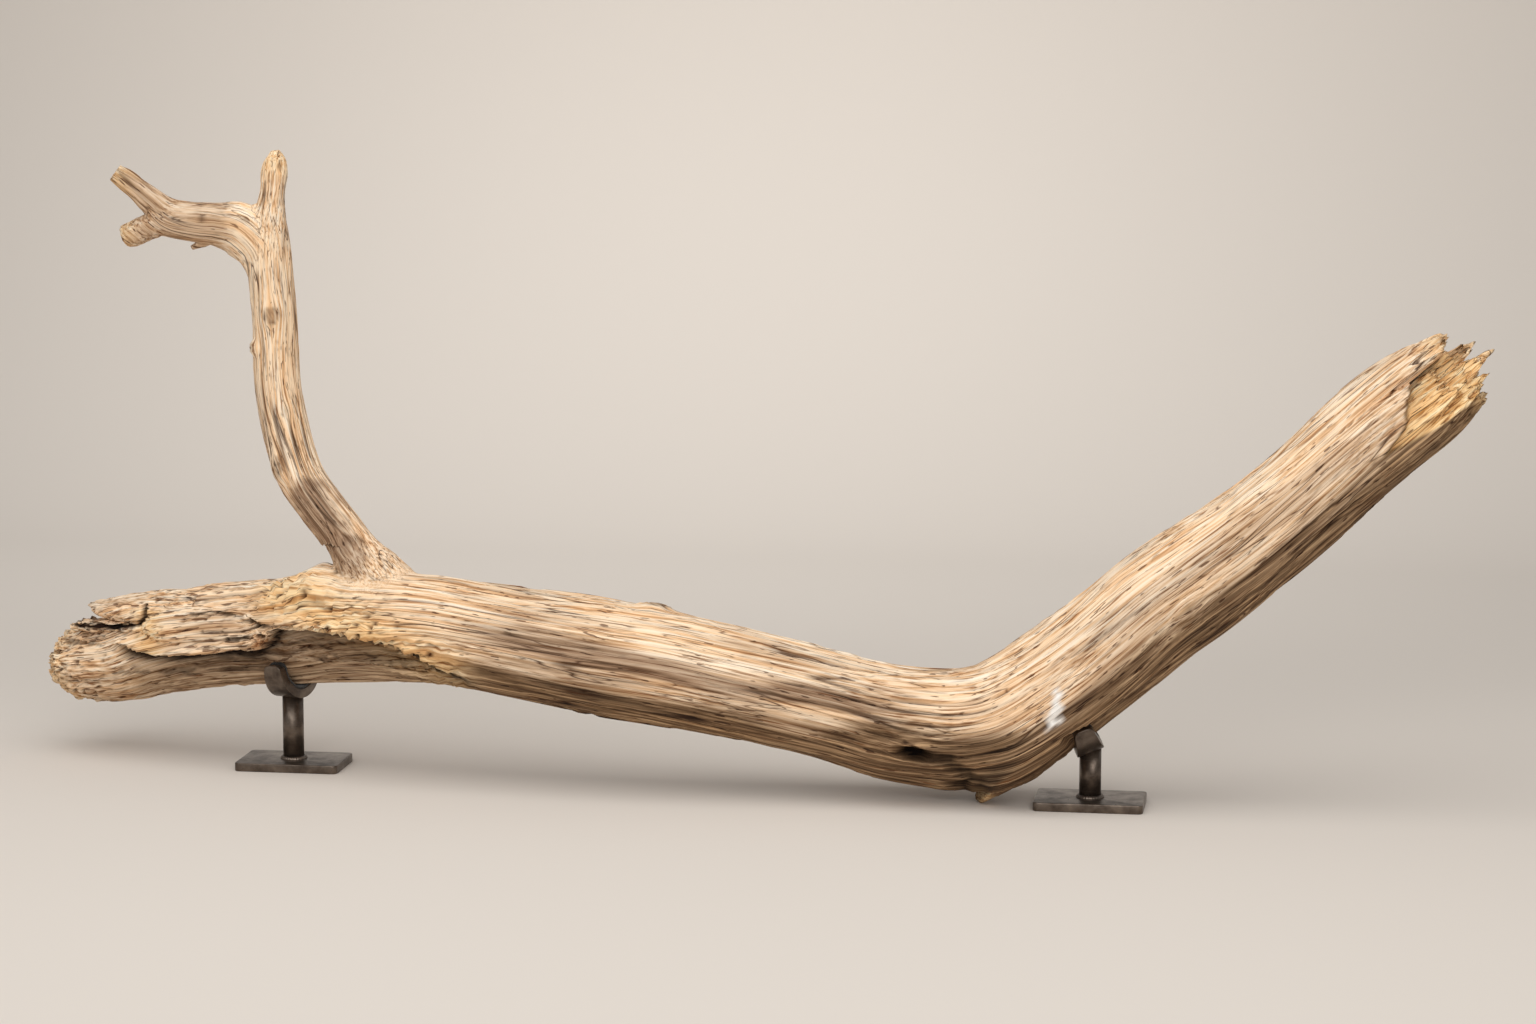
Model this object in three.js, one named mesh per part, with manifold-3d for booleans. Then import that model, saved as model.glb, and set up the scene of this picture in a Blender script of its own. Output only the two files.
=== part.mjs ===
import * as THREE from "three";
import { mergeVertices } from "three/addons/utils/BufferGeometryUtils.js";
import Module from "manifold-3d";

// A driftwood log lying in two welded steel stands, in millimetres with +Z up. X runs along the
// long edges of the stands' plates, Y away from the front, and the floor is z = 0.

const wasm = await Module();
wasm.setup();

// ---- Driving dimensions -------------------------------------------------------------------

const gap = 0.3; // clearance kept between touching pieces
const plate = { length: 100, width: 65, thickness: 8, corner: 5, edge: 0.8 };
const postRadius = 10;
const postSpare = 6; // how much longer than needed the post is before its top is cut to the strap
const weld = { leg: 2.6 };
const cradle = { outer: 34, wall: 9, liner: 2, footHalf: 13, tipHalf: 9.5, corner: 6, linerRise: 2 };

// Where each stand's axis is, how high the lowest point of its cradle is, how far the cradle's
// arms rise above that point, and how it is turned in plan and tilted along the log, in degrees.
const stands = {
  left: { x: -382, y: 30, height: 67.5, arm: 35, turn: -19, tilt: 0 },
  right: { x: 382, y: -30, height: 50, arm: 28, turn: 10, tilt: 22 },
};

const linerDepth = cradle.wall + gap + cradle.liner; // from the strap's outside to the liner's inside

// Each limb of the wood is a list of stations: centre x, y, z, half height, half depth.
const trunkLine = [
  [-630, 88, 82, 18, 22],
  [-622, 86, 82, 30, 34],
  [-600, 81, 85, 38, 42],
  [-560, 72, 92, 43, 46],
  [-523, 63, 105, 47, 48],
  [-459, 48, 119, 50, 49],
  [-392, 33, 128, 50, 50],
  [-322, 16, 140, 51, 52],
  [-240, -2, 143, 50, 52],
  [-189, -11, 138, 50, 51],
  [-130, -21, 131, 51, 51],
  [-72, -27, 124, 53, 52],
  [-14, -30, 117, 53, 52],
  [42, -31, 107, 51, 51],
  [99, -31, 96, 50, 50],
  [155, -31, 84, 50, 50],
  [195, -31, 75, 52, 52],
  [230, -31, 71, 53, 54],
  [262, -31, 70, 55, 55],
  [298, -31, 77, 56, 55],
  [333, -30, 96, 55, 54],
  [371, -30, 124, 53, 53],
  [407, -27, 154, 52, 52],
  [441, -23, 184, 52, 51],
  [477, -19, 211, 51, 50],
  [522, -13, 245, 49, 48],
  [565, -8, 281, 48, 47],
  [607, -3, 319, 48, 47],
  [648, 1, 355, 49, 46],
  [680, 5, 381, 46, 45],
  [702, 8, 399, 38, 42],
];
const branchLine = [
  [-276, 8, 148, 40, 40],
  [-297, 15, 182, 36, 30],
  [-316, 22, 206, 25, 24],
  [-333, 28, 229, 21, 21],
  [-354, 34, 254, 20, 20],
  [-373, 40, 281, 20, 20],
  [-388, 43, 330, 19.5, 19],
  [-395, 43, 370, 20.5, 19],
  [-397, 42, 425, 21, 20],
  [-399, 39, 480, 21, 20],
  [-398, 37, 507, 18, 18],
  [-396, 34, 532, 13.5, 13.5],
  [-393, 32, 550, 11.5, 11.5],
  [-391, 31, 566, 12.5, 12],
  [-390, 30, 578, 9.5, 9.5],
  [-390, 30, 586, 4, 4],
];
const twigLine = [
  [-399, 41, 440, 10, 12],
  [-402, 40, 468, 18, 16],
  [-409, 37, 492, 22, 17],
  [-425, 31, 509, 23, 17],
  [-444, 26, 515, 20, 16],
  [-462, 21, 518, 18.5, 16],
  [-484, 16, 522, 18, 15],
  [-504, 12, 528, 19, 13],
];
const upperTineLine = [
  [-486, 15, 524, 13, 12],
  [-504, 11, 538, 13, 11],
  [-517, 8, 550, 11, 10.5],
  [-529, 5, 560, 10.5, 10],
  [-537, 3, 566, 9, 8.5],
];
const lowerTineLine = [
  [-486, 15, 522, 12, 11],
  [-508, 12, 515, 12, 11],
  [-524, 13, 508, 12, 10.5],
  [-532, 14, 505, 10.5, 9],
];
const spurLine = [
  [-440, 26, 515, 12, 9],
  [-458, 23, 501, 5, 5],
  [-470, 22, 495, 2, 2],
];
const upperSlabLine = [
  [-586, 64, 147, 3, 13],
  [-570, 60, 144, 9, 24],
  [-548, 56, 144, 14, 31],
  [-515, 51, 144, 19, 34],
  [-470, 42, 145, 20, 32],
];
const shelfLine = [
  [-602, 58, 127, 3, 10],
  [-582, 52, 128, 5, 18],
  [-535, 42, 131, 6, 22],
  [-505, 34, 133, 7, 20],
];
const chunkLine = [
  [-530, 31, 133, 9, 8],
  [-508, 25, 131, 19, 17],
  [-455, 12, 134, 21, 19],
  [-408, 1, 137, 18, 17],
  [-393, -3, 139, 10, 9],
];
const knobLine = [
  [318, -30, 62, 40, 34],
  [304, -27, 40, 31, 26],
  [292, -22, 21, 17, 16],
  [281, -18, 3, 2.5, 3],
];
// The hollow under the ledge, and the shallow bite out of the broken end, both cut from the front.
const ledgeHollow = [
  [-540, 2, 100, 3, 6],
  [-490, -10, 100, 12, 16],
  [-430, -20, 108, 19, 22],
  [-380, -26, 122, 23, 26],
  [-330, -36, 122, 24, 28],
  [-280, -48, 117, 21, 28],
  [-235, -57, 107, 12, 20],
  [-200, -66, 102, 4, 10],
];
const endScoop = [
  [628, -54, 330, 8, 14],
  [650, -52, 357, 20, 20],
  [684, -48, 392, 27, 22],
  [730, -46, 432, 34, 26],
];
// The splinters of the broken end: root, tip, and half height and half depth at the root.
const splinters = [
  { root: [650, 14, 386], tip: [693, 14, 432], high: 15, deep: 24 },
  { root: [668, 18, 378], tip: [718, 22, 425], high: 19, deep: 17 },
  { root: [676, 2, 374], tip: [733, 4, 419], high: 20, deep: 20 },
  { root: [676, -12, 362], tip: [731, -12, 392], high: 17, deep: 20 },
  { root: [674, 10, 352], tip: [727, 10, 372], high: 14, deep: 26 },
];

// ---- Helpers --------------------------------------------------------------------------------

/** The geometry as a manifold-3d solid, its shared vertices merged. */
function toSolid(geometry) {
  const plain = geometry.clone();
  plain.deleteAttribute("normal");
  plain.deleteAttribute("uv");
  const merged = mergeVertices(plain, 1e-4);
  return new wasm.Manifold(
    new wasm.Mesh({
      numProp: 3,
      vertProperties: new Float32Array(merged.attributes.position.array),
      triVerts: new Uint32Array(merged.index.array),
    }),
  );
}

/** A manifold-3d solid as a geometry. */
function toGeometry(solid) {
  const { vertProperties, triVerts } = solid.getMesh();
  const geometry = new THREE.BufferGeometry();
  geometry.setAttribute("position", new THREE.BufferAttribute(vertProperties, 3));
  geometry.setIndex(new THREE.BufferAttribute(triVerts, 1));
  geometry.computeVertexNormals();
  return geometry;
}

/** A slow swell of the wood's surface, as a share of its radius. */
function swell(along, turn) {
  return 1 + 0.03 * Math.sin(3 * turn + along / 70) + 0.02 * Math.sin(5 * turn - along / 41);
}

/** A closed limb: a cylinder bent along a smooth line through its stations. The keel narrows
 * its lower half, by the share that keel(x) gives. */
function limb(stations, sides, perStation, keel = () => 0) {
  const line = new THREE.CatmullRomCurve3(stations.map(([x, y, z]) => new THREE.Vector3(x, y, z)));
  const halves = stations.map(([, , , high, deep]) => new THREE.Vector3(high, deep, 0));
  const size = new THREE.CatmullRomCurve3(halves);
  const steps = (stations.length - 1) * perStation;
  const tube = new THREE.CylinderGeometry(1, 1, 1, sides, steps);
  const corners = tube.attributes.position;
  for (let i = 0; i < corners.count; i++) {
    const share = corners.getY(i) + 0.5;
    const centre = line.getPoint(share);
    const tangent = line.getTangent(share);
    const side = new THREE.Vector3(0, 1, 0).addScaledVector(tangent, -tangent.y).normalize();
    const up = new THREE.Vector3().crossVectors(tangent, side);
    const half = size.getPoint(share);
    const [high, deep] = [corners.getX(i), corners.getZ(i)];
    const narrow = 1 - keel(centre.x) * Math.max(0, -high);
    const wave = swell(centre.x + centre.z, Math.atan2(deep, high));
    centre.addScaledVector(up, high * half.x * wave);
    centre.addScaledVector(side, deep * half.y * wave * narrow);
    corners.setXYZ(i, centre.x, centre.y, centre.z);
  }
  return tube;
}

/** How far the log's underside is worn to a keel: most over the left stand, nothing past x = -180. */
function trunkKeel(x) {
  return 0.45 * THREE.MathUtils.smoothstep(-x, 180, 320);
}

/** A splinter that narrows from its root to a blunt tip. */
function splinter({ root, tip, high, deep }) {
  const middle = root.map((value, axis) => 0.45 * value + 0.55 * tip[axis]);
  const stations = [
    [...root, high, deep],
    [...middle, high * 0.6, deep * 0.7],
    [...tip, 2, 4],
  ];
  return limb(stations, 10, 2);
}

// ---- Stands ---------------------------------------------------------------------------------

/** A flat bar with rounded corners and softened edges, its underside at z = 0. */
function plateGeometry() {
  const { length, width, thickness, corner, edge } = plate;
  const outline = new THREE.Shape();
  const [x, y] = [length / 2 - edge, width / 2 - edge];
  const round = corner - edge;
  outline.moveTo(-x + round, -y).lineTo(x - round, -y);
  outline.absarc(x - round, -y + round, round, -Math.PI / 2, 0);
  outline.lineTo(x, y - round).absarc(x - round, y - round, round, 0, Math.PI / 2);
  outline.lineTo(-x + round, y).absarc(-x + round, y - round, round, Math.PI / 2, Math.PI);
  outline.lineTo(-x, -y + round).absarc(-x + round, -y + round, round, Math.PI, Math.PI * 1.5);
  const bar = new THREE.ExtrudeGeometry(outline, {
    depth: thickness - 2 * edge,
    bevelSize: edge,
    bevelThickness: edge,
    bevelSegments: 1,
    curveSegments: 5,
  });
  return bar.translate(0, 0, edge);
}

/** A U of flat bar between two radii, its lowest point at z = outer radius below the arms' centre
 * line and the log's direction along X. */
function bentBar(outer, inner, halfWidth) {
  const top = cradle.corner + cradle.linerRise;
  const outline = new THREE.Shape();
  outline.moveTo(-outer, top).lineTo(-outer, 0).absarc(0, 0, outer, Math.PI, 2 * Math.PI);
  outline.lineTo(outer, top).lineTo(inner, top).lineTo(inner, 0);
  outline.absarc(0, 0, inner, 0, -Math.PI, true);
  outline.lineTo(-inner, top);
  const depth = 2 * halfWidth;
  const bar = new THREE.ExtrudeGeometry(outline, { depth, bevelEnabled: false, curveSegments: 14 });
  return bar.translate(0, cradle.outer, -halfWidth).rotateX(Math.PI / 2).rotateZ(Math.PI / 2);
}

/** The block that trims a bent bar: wide at the foot, narrower at the arms' round tips. */
function trimBlock(height, grow) {
  const { outer, corner } = cradle;
  const [foot, tip] = [cradle.footHalf + grow, cradle.tipHalf + grow];
  const outline = new THREE.Shape();
  outline.moveTo(-foot, -outer).lineTo(foot, -outer).lineTo(foot, corner).lineTo(tip, height - corner);
  outline.absarc(tip - corner, height - corner, corner, 0, Math.PI / 2);
  outline.lineTo(corner - tip, height).absarc(corner - tip, height - corner, corner, Math.PI / 2, Math.PI);
  outline.lineTo(-foot, corner);
  const depth = 4 * outer;
  const block = new THREE.ExtrudeGeometry(outline, { depth, bevelEnabled: false, curveSegments: 5 });
  return block.translate(0, 0, -depth / 2).rotateX(Math.PI / 2);
}

/** One U of a cradle, between two depths below the outside of its strap. grow thickens it all round. */
function bentPiece(stand, from, to, rise, grow) {
  const bar = bentBar(cradle.outer - from + grow, cradle.outer - to - grow, cradle.footHalf + 1);
  const block = trimBlock(stand.arm + rise + grow, grow);
  return seat(toGeometry(toSolid(bar).intersect(toSolid(block))), stand);
}

/** Turns and tilts a cradle's geometry about its lowest point, then lifts it onto its stand. */
function seat(geometry, stand) {
  const tilt = THREE.MathUtils.degToRad(stand.tilt);
  const turn = THREE.MathUtils.degToRad(stand.turn);
  return geometry.rotateY(-tilt).rotateZ(turn).translate(stand.x, stand.y, stand.height);
}

/** The round bar from the plate up to the strap, its top end cut to fit the strap. */
function postSolid(stand) {
  const foot = plate.thickness + gap;
  const height = stand.height + postSpare - foot;
  const bar = new THREE.CylinderGeometry(postRadius, postRadius, height, 32).rotateX(Math.PI / 2);
  bar.translate(stand.x, stand.y, foot + height / 2);
  const reach = cradle.outer + gap;
  const width = 8 * postRadius;
  const round = new THREE.CylinderGeometry(reach, reach, width, 72).rotateZ(Math.PI / 2);
  round.translate(0, 0, cradle.outer);
  return toSolid(bar).subtract(toSolid(seat(round, stand)));
}

/** The ring of weld where the post stands on the plate, with a triangular section. */
function footWeld(stand) {
  const foot = plate.thickness + gap;
  const inner = postRadius + gap;
  const section = [
    new THREE.Vector2(inner, foot),
    new THREE.Vector2(inner + weld.leg, foot),
    new THREE.Vector2(inner + 0.45 * weld.leg, foot + 0.45 * weld.leg),
    new THREE.Vector2(inner, foot + weld.leg),
    new THREE.Vector2(inner, foot),
  ];
  return new THREE.LatheGeometry(section, 28).rotateX(Math.PI / 2).translate(stand.x, stand.y, 0);
}

// ---- Wood -----------------------------------------------------------------------------------

/** The whole piece of driftwood, with the room that the cradles need cut out of it. */
function driftwoodSolid() {
  const limbs = [
    limb(branchLine, 16, 3),
    limb(twigLine, 14, 2),
    limb(upperTineLine, 10, 2),
    limb(lowerTineLine, 10, 2),
    limb(spurLine, 8, 2),
    limb(upperSlabLine, 16, 2),
    limb(shelfLine, 12, 2),
    limb(knobLine, 14, 3),
  ];
  let wood = toSolid(limb(trunkLine, 26, 2, trunkKeel));
  wood = wood.subtract(toSolid(limb(ledgeHollow, 14, 2)));
  wood = wood.add(toSolid(limb(chunkLine, 16, 2)));
  for (const piece of splinters) wood = wood.add(toSolid(splinter(piece)));
  wood = wood.subtract(toSolid(limb(endScoop, 14, 2)));
  for (const piece of limbs) wood = wood.add(toSolid(piece));
  for (const stand of Object.values(stands)) {
    const room = bentPiece(stand, 0, linerDepth, cradle.linerRise, gap);
    wood = wood.subtract(toSolid(room));
  }
  return wood;
}

// ---- Materials and assembly -----------------------------------------------------------------

const looks = {
  steel: { color: "#453d38", roughness: 0.5, metalness: 0.85 },
  beadSteel: { color: "#5a524c", roughness: 0.45, metalness: 0.85 },
  felt: { color: "#1a1715", roughness: 0.95, metalness: 0 },
  paleWood: { color: "#b79a74", roughness: 0.85, metalness: 0 },
};

const scene = new THREE.Group();

/** Adds one named piece to the model, with a material of its own. */
function addPiece(name, geometry, look) {
  const piece = new THREE.Mesh(geometry, new THREE.MeshStandardMaterial(look));
  piece.name = name;
  scene.add(piece);
  return piece;
}

addPiece("driftwood", toGeometry(driftwoodSolid()), looks.paleWood);
for (const [side, stand] of Object.entries(stands)) {
  const liner = bentPiece(stand, cradle.wall + gap, linerDepth, cradle.linerRise, 0);
  addPiece(`${side}_base_plate`, plateGeometry(), looks.steel).position.set(stand.x, stand.y, 0);
  addPiece(`${side}_post`, toGeometry(postSolid(stand)), looks.steel);
  addPiece(`${side}_foot_weld`, footWeld(stand), looks.beadSteel);
  addPiece(`${side}_cradle`, bentPiece(stand, 0, cradle.wall, 0, 0), looks.steel);
  addPiece(`${side}_cradle_liner`, liner, looks.felt);
}

// The origin is the middle of the underside of the whole model's box.
const bounds = new THREE.Box3().setFromObject(scene);
const centre = bounds.getCenter(new THREE.Vector3());
scene.position.set(-centre.x, -centre.y, -bounds.min.z);

const model = new THREE.Group();
model.add(scene);
export default model;
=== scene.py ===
import math

import bmesh
import bpy
import numpy as np
from mathutils import Matrix, Vector


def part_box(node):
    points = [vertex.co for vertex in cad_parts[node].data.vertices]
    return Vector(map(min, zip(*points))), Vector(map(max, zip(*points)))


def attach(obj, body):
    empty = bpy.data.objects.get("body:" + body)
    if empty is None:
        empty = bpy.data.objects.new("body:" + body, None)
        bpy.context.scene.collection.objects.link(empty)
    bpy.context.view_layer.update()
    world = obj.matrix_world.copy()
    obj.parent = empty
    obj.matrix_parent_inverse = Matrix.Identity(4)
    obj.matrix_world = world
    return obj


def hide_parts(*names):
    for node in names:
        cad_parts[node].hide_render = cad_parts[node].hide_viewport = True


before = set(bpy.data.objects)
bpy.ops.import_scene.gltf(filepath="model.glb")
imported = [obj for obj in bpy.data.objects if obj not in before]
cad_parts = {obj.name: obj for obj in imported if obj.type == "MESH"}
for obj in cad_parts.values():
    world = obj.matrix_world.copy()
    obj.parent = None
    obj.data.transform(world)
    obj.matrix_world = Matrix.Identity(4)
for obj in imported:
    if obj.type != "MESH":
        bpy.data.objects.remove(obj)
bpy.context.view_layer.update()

mm = 0.001


def boxMiddle(node):
    low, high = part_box(node)
    return (low + high) / 2


# the stands' middle on the floor: every place below is in mm from here, X along the plates' long edges
middle = (boxMiddle("left_post") + boxMiddle("right_post")) / 2
middle.z = 0


def place(x, y, z):
    return middle + Vector((x, y, z)) * mm


def smoothStep(value, low, high):
    share = np.clip((value - low) / (high - low), 0, 1)
    return share * share * (3 - 2 * share)


# where the camera stands in mm, its turn and pitch in degrees, and its lens
view = {"place": (640, -3657, 798), "turn": 8.70, "pitch": 81.72, "lens": 95.1}


def addCamera():
    data = bpy.data.cameras.new("camera")
    data.lens = view["lens"]
    data.sensor_width = 36
    data.clip_end = 60
    camera = bpy.data.objects.new("camera", data)
    camera.location = place(*view["place"])
    camera.rotation_euler = (math.radians(view["pitch"]), 0, math.radians(view["turn"]))
    bpy.context.collection.objects.link(camera)
    bpy.context.scene.camera = camera


def linear(hexColour, alpha=1.0):
    parts = [int(hexColour[i:i + 2], 16) / 255 for i in (1, 3, 5)]
    return [c / 12.92 if c <= 0.04045 else ((c + 0.055) / 1.055) ** 2.4 for c in parts] + [alpha]


def newMaterial(name):
    material = bpy.data.materials.new(name)
    material.use_nodes = True
    material.node_tree.nodes.clear()
    return material


def addNode(material, kind, settings=None, links=None, stops=(), output=0):
    # adds one shader node with its settings and links (a link may also be a plain number or colour)
    node = material.node_tree.nodes.new("ShaderNode" + kind)
    for key, value in (settings or {}).items():
        if key in node.inputs:
            node.inputs[key].default_value = value
        else:
            setattr(node, key, value)
    for socket, source in (links or {}).items():
        if isinstance(source, bpy.types.NodeSocket):
            material.node_tree.links.new(source, node.inputs[socket])
        else:
            node.inputs[socket].default_value = linear(source) if isinstance(source, str) else source
    for i, (position, colour) in enumerate(stops):
        if i >= len(node.color_ramp.elements):
            node.color_ramp.elements.new(position)
        node.color_ramp.elements[i].position = position
        node.color_ramp.elements[i].color = linear(colour)
    return node.outputs[output] if node.outputs else None


def finishMaterial(material, settings, links):
    shader = addNode(material, "BsdfPrincipled", settings, links)
    addNode(material, "OutputMaterial", links={"Surface": shader})
    return material


def newPiece(name, bm, material):
    for face in bm.faces:
        face.smooth = True
    mesh = bpy.data.meshes.new(name)
    bm.to_mesh(mesh)
    bm.free()
    piece = bpy.data.objects.new(name, mesh)
    bpy.context.collection.objects.link(piece)
    if material:
        mesh.materials.append(material)
    return piece


# the paper sweep in metres, only as tall as the view needs, so the piece can also be seen from behind
sweep = {"front": 5.0, "back": 1.35, "bend": 1.1, "height": 0.76, "half": 6.5, "turnSteps": 24}


def paperMaterial():
    # matt seamless paper: flat and pale, with no gloss at all
    material = newMaterial("mattSeamlessPaper")
    return finishMaterial(material, {"Roughness": 1.0, "Specular IOR Level": 0.0},
                          {"Base Color": "#ddd4ca"})


def addBackdrop():
    bm = bmesh.new()
    bend = sweep["bend"]
    fullTurn = math.acos(1 - sweep["height"] / bend)
    profile = [(-sweep["front"], 0.0)]
    for step in range(sweep["turnSteps"] + 1):
        angle = fullTurn * step / sweep["turnSteps"]
        profile.append((sweep["back"] + bend * math.sin(angle), bend * (1 - math.cos(angle))))
    corners = [bm.verts.new((-sweep["half"], y, z)) for y, z in profile]
    edges = [bm.edges.new(pair) for pair in zip(corners, corners[1:])]
    made = bmesh.ops.extrude_edge_only(bm, edges=edges)["geom"]
    moved = [part for part in made if isinstance(part, bmesh.types.BMVert)]
    bmesh.ops.translate(bm, verts=moved, vec=(2 * sweep["half"], 0, 0))
    bmesh.ops.recalc_face_normals(bm, faces=bm.faces)
    newPiece("backdrop", bm, paperMaterial())


# each light: where it hangs and what it points at in mm, its size in metres, watts and spread in degrees
lights = {
    "overheadSoftbox": {"from": (-60, -820, 1720), "to": (-20, 40, 60), "size": (3.4, 2.2), "watts": 21.5,
                        "spread": 140},
    "wallPool": {"from": (-220, 250, 2050), "to": (-330, 2300, 330), "size": (1.1, 0.5), "watts": 6,
                 "spread": 84},
    "frontFill": {"from": (500, -3300, 1500), "to": (50, 0, 200), "size": (2.4, 1.6), "watts": 15,
                  "spread": 120},
}
ambient = {"colour": "#ffffff", "strength": 0.38}


def addLights():
    for name, light in lights.items():
        data = bpy.data.lights.new(name, "AREA")
        data.shape = "RECTANGLE"
        data.size, data.size_y = light["size"]
        data.energy = light["watts"]
        data.spread = math.radians(light["spread"])
        lamp = bpy.data.objects.new(name, data)
        lamp.location = place(*light["from"])
        aim = place(*light["to"]) - lamp.location
        lamp.rotation_euler = aim.to_track_quat("-Z", "Y").to_euler()
        bpy.context.collection.objects.link(lamp)
    world = bpy.data.worlds.new("studio")
    world.use_nodes = True
    sky = world.node_tree.nodes["Background"]
    sky.inputs["Color"].default_value = linear(ambient["colour"])
    sky.inputs["Strength"].default_value = ambient["strength"]
    bpy.context.scene.world = world
    bpy.context.scene.view_settings.view_transform = "Standard"


addCamera()
addBackdrop()
addLights()
print("stage: camera, backdrop and lights")

# the stands' pieces in mm
plate = {"length": 100, "width": 65, "thickness": 8, "corner": 5, "edge": 0.8}
post = {"radius": 10, "sides": 72, "sink": 0.3}
bead = {"leg": 2.8, "root": 0.4, "arcSteps": 6, "around": 240, "ripples": 30, "ripple": 0.22}
strap = {"outer": 34, "wall": 9, "liner": 2, "gap": 0.3, "foot": 13, "tip": 9.5, "corner": 6,
         "linerRise": 2, "edge": 0.7, "linerEdge": 0.3}
# each cradle: the height of its underside, its arms' height in mm, and its turn and tilt in degrees
stands = {
    "left": {"height": 67.5, "arm": 35, "turn": -19, "tilt": 0},
    "right": {"height": 50, "arm": 28, "turn": 10, "tilt": 22},
}


# the lines that the wood grew along, as stations in mm: centre x, y, z, half height and half depth
trunkLine = [
    (-630, 88, 82, 18, 22), (-622, 86, 82, 30, 34), (-600, 81, 85, 38, 42), (-560, 72, 92, 43, 46),
    (-523, 63, 105, 47, 48), (-459, 48, 119, 50, 49), (-392, 33, 128, 50, 50), (-322, 16, 140, 51, 52),
    (-240, -2, 143, 50, 52), (-189, -11, 138, 50, 51), (-130, -21, 131, 51, 51), (-72, -27, 124, 53, 52),
    (-14, -30, 117, 53, 52), (42, -31, 107, 51, 51), (99, -31, 96, 50, 50), (155, -31, 84, 50, 50),
    (195, -31, 75, 52, 52), (230, -31, 71, 53, 54), (262, -31, 70, 55, 55), (298, -31, 77, 56, 55),
    (333, -30, 96, 55, 54), (371, -30, 124, 53, 53), (407, -27, 154, 52, 52), (441, -23, 184, 52, 51),
    (477, -19, 211, 51, 50), (522, -13, 245, 49, 48), (565, -8, 281, 48, 47), (607, -3, 319, 48, 47),
    (648, 1, 355, 49, 46), (680, 5, 381, 46, 45), (702, 8, 399, 38, 42)]
branchLine = [
    (-276, 8, 148, 40, 40), (-297, 15, 182, 36, 30), (-316, 22, 206, 25, 24), (-333, 28, 229, 22, 21),
    (-355, 34, 254, 22, 21), (-375, 40, 281, 22.5, 21), (-390, 43, 330, 22, 20), (-396, 43, 370, 21.5, 19),
    (-397, 42, 425, 21, 20), (-399, 39, 480, 21, 20), (-398, 37, 507, 18, 18),
    (-396, 34, 532, 13.5, 13.5), (-393, 32, 550, 11.5, 11.5), (-391, 31, 566, 12.5, 12),
    (-390, 30, 578, 9.5, 9.5), (-390, 30, 586, 4, 4)]
twigLine = [
    (-399, 41, 440, 10, 12), (-402, 40, 468, 18, 16), (-408, 37, 494, 24, 17), (-425, 31, 512, 26, 17),
    (-445, 26, 517, 21, 16), (-463, 21, 519, 19, 16), (-484, 16, 522, 18, 15), (-509, 12, 529, 20, 12)]
upperTineLine = [
    (-486, 15, 524, 13, 12), (-504, 11, 538, 13, 11), (-517, 8, 550, 11, 10.5), (-529, 5, 560, 10.5, 10),
    (-537, 3, 566, 9, 8.5)]
lowerTineLine = [
    (-486, 15, 522, 12, 11), (-508, 12, 515, 12, 11), (-524, 13, 508, 12, 10.5), (-532, 14, 505, 10.5, 9)]
spurLine = [(-440, 26, 515, 12, 9), (-458, 23, 501, 5, 5), (-470, 22, 495, 2, 2)]
upperSlabLine = [
    (-586, 64, 147, 3, 13), (-570, 60, 144, 9, 24), (-548, 56, 144, 14, 31), (-515, 51, 144, 19, 34),
    (-470, 42, 145, 20, 32)]
shelfLine = [(-602, 58, 127, 3, 10), (-582, 52, 128, 5, 18), (-535, 42, 131, 6, 22), (-505, 34, 133, 7, 20)]
chunkLine = [
    (-530, 31, 133, 9, 8), (-508, 25, 131, 19, 17), (-455, 12, 134, 21, 19), (-408, 1, 137, 18, 17),
    (-393, -3, 139, 10, 9)]
knobLine = [(318, -30, 62, 40, 34), (304, -27, 40, 31, 26), (292, -22, 21, 17, 16), (281, -18, 3, 2.5, 3)]
ledgeHollow = [
    (-540, 2, 100, 3, 6), (-490, -10, 100, 12, 16), (-430, -20, 108, 19, 22), (-380, -26, 122, 23, 26),
    (-330, -36, 122, 24, 28), (-280, -48, 117, 21, 28), (-235, -57, 107, 12, 20), (-200, -66, 102, 4, 10)]


def smoothLine(stations, perSpan=24):
    # a centripetal Catmull-Rom curve through the stations, as rows of x, y, z, half height, half depth
    rows = np.array(stations, float)
    rows = np.vstack([2 * rows[0] - rows[1], rows, 2 * rows[-1] - rows[-2]])
    out = []
    for i in range(1, len(rows) - 2):
        a, b, c, d = rows[i - 1:i + 3]
        before, span, after = [np.linalg.norm((q - p)[:3]) ** 0.5 for p, q in ((a, b), (b, c), (c, d))]
        slopeB = ((b - a) / before - (c - a) / (before + span) + (c - b) / span) * span
        slopeC = ((c - b) / span - (d - b) / (span + after) + (d - c) / after) * span
        t = np.linspace(0, 1, perSpan, endpoint=False)[:, None]
        out.append((2 * t**3 - 3 * t**2 + 1) * b + (t**3 - 2 * t**2 + t) * slopeB
                   + (3 * t**2 - 2 * t**3) * c + (t**3 - t**2) * slopeC)
    out.append(rows[-2:-1])
    return np.vstack(out)


def lengthAlong(rows):
    steps = np.linalg.norm(np.diff(rows[:, :3], axis=0), axis=1)
    return np.concatenate([[0], np.cumsum(steps)])


def rowFrames(rows):
    # tangent, side and up at each row: side is the Y axis made square to the tangent
    tangent = np.gradient(rows[:, :3], axis=0)
    tangent /= np.linalg.norm(tangent, axis=1)[:, None]
    side = np.array([0.0, 1.0, 0.0]) - tangent * tangent[:, 1:2]
    side /= np.linalg.norm(side, axis=1)[:, None]
    return tangent, side, np.cross(tangent, side)


def trunkKeel(x):
    return 0.45 * smoothStep(-x, 180, 320)


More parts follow.
